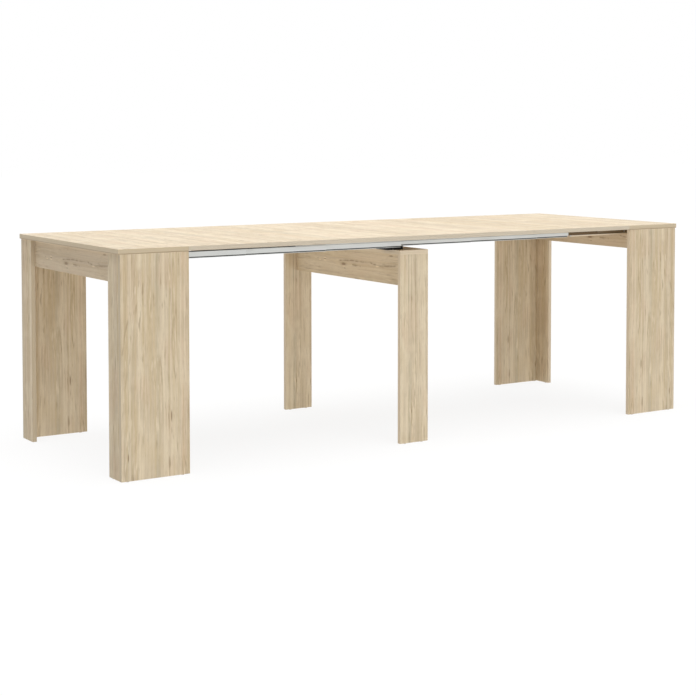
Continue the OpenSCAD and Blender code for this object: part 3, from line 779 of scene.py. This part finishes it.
# Loose leaves.
# Four boards that are laid on the slides once the table is open. Rubber pads under them keep them
# from creeping, and black guide blocks keep them from sliding off sideways.
LEAF_EDGING = (0.600, 0.525, 0.410, 1)
LEAF_PITCH = 0.500
LEAF_STRIPES = (
    ((0.005, "plain"), (0.060, "grey"), (0.100, "plain"), (0.160, "tan"), (0.210, "plain"),
     (0.250, "grey"), (0.300, "pale"), (0.350, "tan"), (0.400, "plain"), (0.450, "grey"),
     (0.495, "plain")),
    ((0.005, "plain"), (0.050, "gold"), (0.090, "grey"), (0.150, "pale"), (0.200, "plain"),
     (0.250, "pale"), (0.300, "plain"), (0.350, "pale"), (0.400, "plain"), (0.450, "tan"),
     (0.495, "plain")),
    ((0.005, "plain"), (0.050, "pale"), (0.100, "plain"), (0.150, "pale"), (0.190, "rose"),
     (0.250, "pale"), (0.300, "plain"), (0.370, "tan"), (0.410, "plain"), (0.450, "pale"),
     (0.495, "gold")),
    ((0.005, "gold"), (0.050, "tan"), (0.100, "gold"), (0.150, "grey"), (0.200, "gold"),
     (0.250, "plain"), (0.300, "tan"), (0.350, "plain"), (0.400, "gold"), (0.450, "plain"),
     (0.495, "tan")))
LEAF_SHEETS = (75.0, 80.0, 85.0, 90.0)
RUBBER = (0.045, 0.043, 0.040, 1)
RUBBER_DUSTY = (0.090, 0.085, 0.078, 1)
RUBBER_LEVELS = (0.45, 0.7)
RUBBER_ROUGHNESS = (0.3, 0.7, 0.70, 0.88)
RUBBER_RELIEF = (0.3, 0.0002)
pad_rubber = speckled("pad_rubber", RUBBER, RUBBER_DUSTY, repeats=500.0, levels=RUBBER_LEVELS,
                      roughness=RUBBER_ROUGHNESS, relief=RUBBER_RELIEF)
first_seam = span("left_top", "X")[1]
for leaf, (sheet, stripes) in enumerate(zip(LEAF_SHEETS, LEAF_STRIPES), start=1):
    leaf_edge = first_seam + LEAF_PITCH * (leaf - 1)
    leaf_paper = oak_paper(f"oak_leaf_{leaf}", "X", "Y", TOP_OAK, sheet, leaf_edge, stripes=stripes,
                           edging=LEAF_EDGING, roughness=TOP_ROUGHNESS, gloss=TOP_GLOSS,
                           depth=TOP_DEPTH)
    dressed(f"leaf_{leaf}", leaf_paper)
    dressed(f"leaf_{leaf}_rest_pads", pad_rubber, None)
    dressed(f"leaf_{leaf}_guide_blocks", black_nylon, MOULDING_ARRIS)


# Studio floor.
# A wide sheet of pale paper. The camera and the aluminium see it white, with a soft shadow where
# the table stands, and it throws light up under the boards.
FLOOR_REACH = 30.0
FLOOR_GREY = (0.33, 0.33, 0.33, 1)
FLOOR_GLOW = 0.74
FLOOR_ROUGHNESS = 0.9
WHITE = (1, 1, 1, 1)
SHADED_FLOOR = (0.90, 0.90, 0.90, 1)
SHADOW_SHARE = 0.12


def straight_view(tree):
    """1 for the rays that should see a plain white studio."""
    light_path = add(tree, "ShaderNodeLightPath").outputs
    seen = sums(tree, "MAXIMUM", light_path["Is Camera Ray"], light_path["Is Glossy Ray"])
    return sums(tree, "MAXIMUM", seen, light_path["Is Transmission Ray"])


floor_paint, tree, skin = blank_finish("floor_paint")
skin.inputs["Base Color"].default_value = FLOOR_GREY
skin.inputs["Roughness"].default_value = FLOOR_ROUGHNESS
skin.inputs["Specular IOR Level"].default_value = 0.0
skin.inputs["Emission Color"].default_value = WHITE
skin.inputs["Emission Strength"].default_value = FLOOR_GLOW
white_floor = add(tree, "ShaderNodeEmission", Color=WHITE, Strength=1.0)
shaded_floor = add(tree, "ShaderNodeBsdfDiffuse", Color=SHADED_FLOOR)
seen_floor = add(tree, "ShaderNodeMixShader", _0=SHADOW_SHARE, _1=white_floor.outputs[0],
                 _2=shaded_floor.outputs[0])
whole_floor = add(tree, "ShaderNodeMixShader", _0=straight_view(tree), _1=skin.outputs[0],
                  _2=seen_floor.outputs[0])
tree.links.new(whole_floor.outputs[0], tree.nodes["Material Output"].inputs["Surface"])
corners = [(-FLOOR_REACH, -FLOOR_REACH, 0), (FLOOR_REACH, -FLOOR_REACH, 0),
           (FLOOR_REACH, FLOOR_REACH, 0), (-FLOOR_REACH, FLOOR_REACH, 0)]
paper_floor = bpy.data.meshes.new("studio_floor")
paper_floor.from_pydata(corners, [], [(0, 1, 2, 3)])
paper_floor.materials.append(floor_paint)
studio_floor = bpy.data.objects.new("studio_floor", paper_floor)
bpy.context.scene.collection.objects.link(studio_floor)


# White surroundings.
# The camera and the aluminium see plain white all round. As light on the table it is only weak.
SKY_LIGHT = 0.10
world = bpy.data.worlds.new("studio_world")
bpy.context.scene.world = world
world.use_nodes = True
tree = world.node_tree
soft_sky = tree.nodes["Background"]
soft_sky.inputs["Color"].default_value = WHITE
soft_sky.inputs["Strength"].default_value = SKY_LIGHT
white_sky = add(tree, "ShaderNodeBackground", Color=WHITE, Strength=1.0)
whole_sky = add(tree, "ShaderNodeMixShader", _0=straight_view(tree), _1=soft_sky.outputs[0],
                _2=white_sky.outputs[0])
tree.links.new(whole_sky.outputs[0], tree.nodes["World Output"].inputs["Surface"])


# Lamps.
# Two broad soft lamps, a weak one low in front of the table and a strong one almost overhead. The
# aluminium doesn't mirror them.
FRONT_LIGHT = 0.76
FRONT_DEGREES_UP = 20.0
FRONT_DEGREES_WIDE = 45.0
TOP_LIGHT = 3.35
TOP_DEGREES_UP = 86.0
TOP_DEGREES_WIDE = 60.0
for name, light, degrees_up, degrees_wide in (
        ("front_light", FRONT_LIGHT, FRONT_DEGREES_UP, FRONT_DEGREES_WIDE),
        ("top_light", TOP_LIGHT, TOP_DEGREES_UP, TOP_DEGREES_WIDE)):
    lamp = bpy.data.lights.new(name, "SUN")
    lamp.energy = light
    lamp.angle = math.radians(degrees_wide)
    hung_lamp = bpy.data.objects.new(name, lamp)
    hung_lamp.rotation_euler = (math.radians(90.0 - degrees_up), 0.0, 0.0)
    hung_lamp.visible_glossy = False
    bpy.context.scene.collection.objects.link(hung_lamp)


# Camera.
# It stands well off the left front corner, higher than the table, and looks down by less than three
# degrees. A long lens, shifted downwards, keeps the legs nearly upright.
LENS = 81.64
SENSOR = 36.0
LENS_SHIFT = (-0.0334, -0.2100)
CAMERA_PLACE = (-3.404, -5.2543, 1.1897)
CAMERA_TILT = 87.216
CAMERA_TURN = -33.191
camera_data = bpy.data.cameras.new("camera")
camera_data.sensor_width = SENSOR
camera_data.lens = LENS
camera_data.shift_x, camera_data.shift_y = LENS_SHIFT
camera = bpy.data.objects.new("camera", camera_data)
bpy.context.scene.collection.objects.link(camera)
camera.location = CAMERA_PLACE
camera.rotation_euler = (math.radians(CAMERA_TILT), 0.0, math.radians(CAMERA_TURN))
bpy.context.scene.camera = camera
bpy.context.scene.view_settings.view_transform = "Standard"
